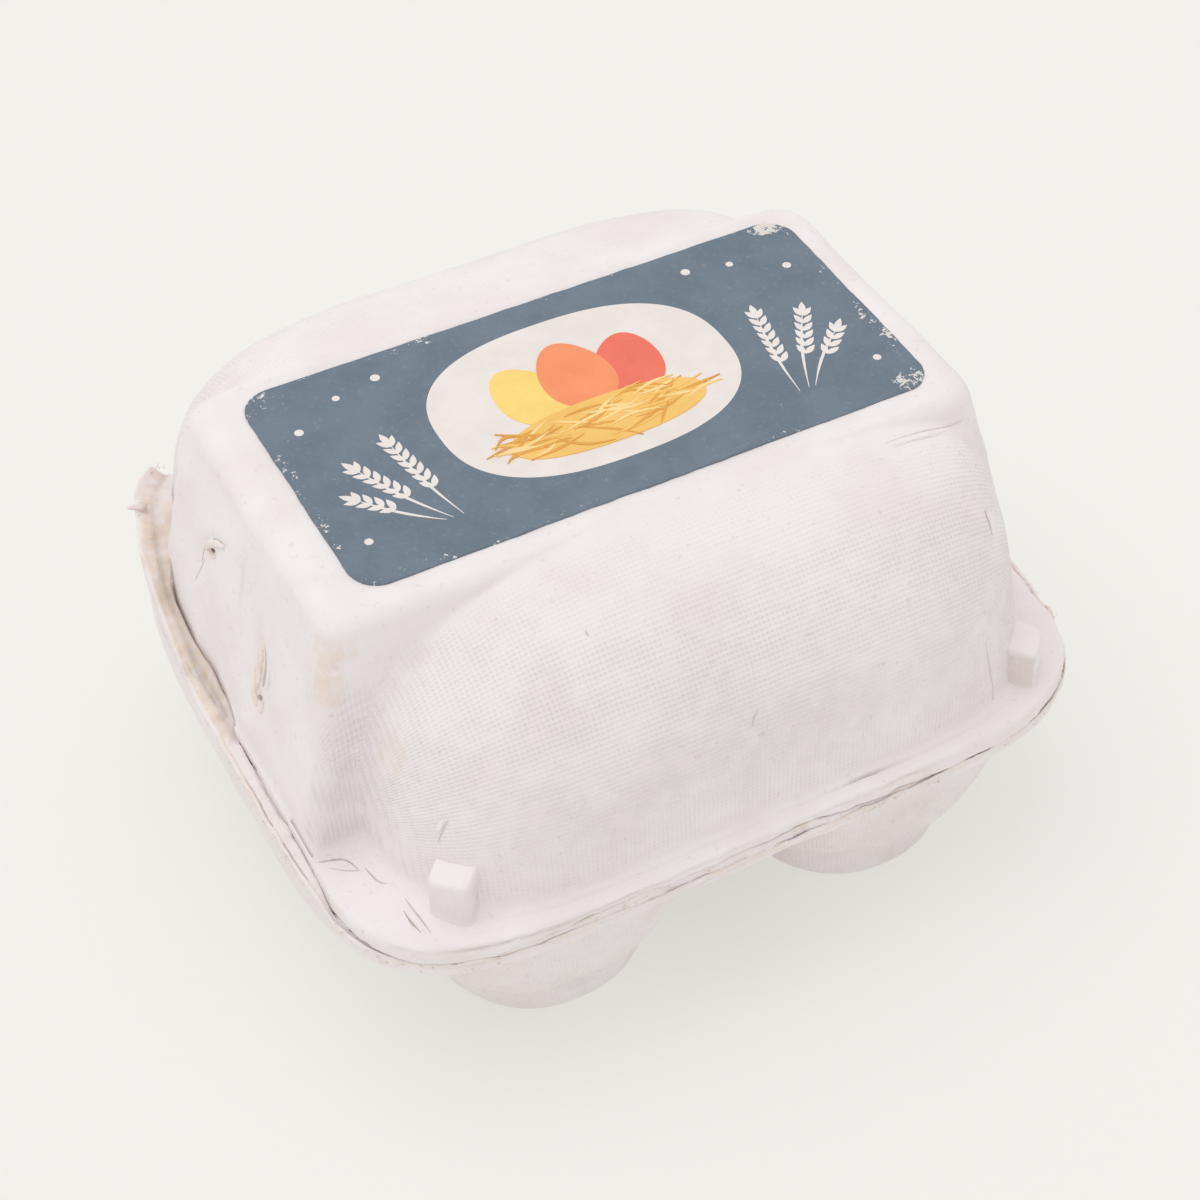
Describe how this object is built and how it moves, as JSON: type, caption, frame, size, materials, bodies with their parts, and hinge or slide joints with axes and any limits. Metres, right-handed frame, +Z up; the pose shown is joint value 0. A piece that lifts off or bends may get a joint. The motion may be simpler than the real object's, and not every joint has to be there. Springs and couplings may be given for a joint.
{
  "type": "egg carton",
  "caption": "Shut moulded-pulp egg carton with a bulged lid, a cupped tray and a printed paper label let into the flat top.",
  "frame": {"origin": "middle of the carton's footprint, on the surface that its four cups stand on", "axes": "+X along the long side to the right, +Y towards the back where the lid is hinged, +Z up"},
  "size_m": [0.118, 0.1088, 0.066],
  "materials": {
    "tray_pulp": "matt moulded pulp",
    "lid_pulp": "matt moulded pulp with a fine mesh imprint",
    "label_paper": "satin printed paper, worn at the edges"
  },
  "bodies": {
    "root": {"tray": "tray_pulp", "lid": "lid_pulp", "label": "label_paper"}
  },
  "joints": []
}
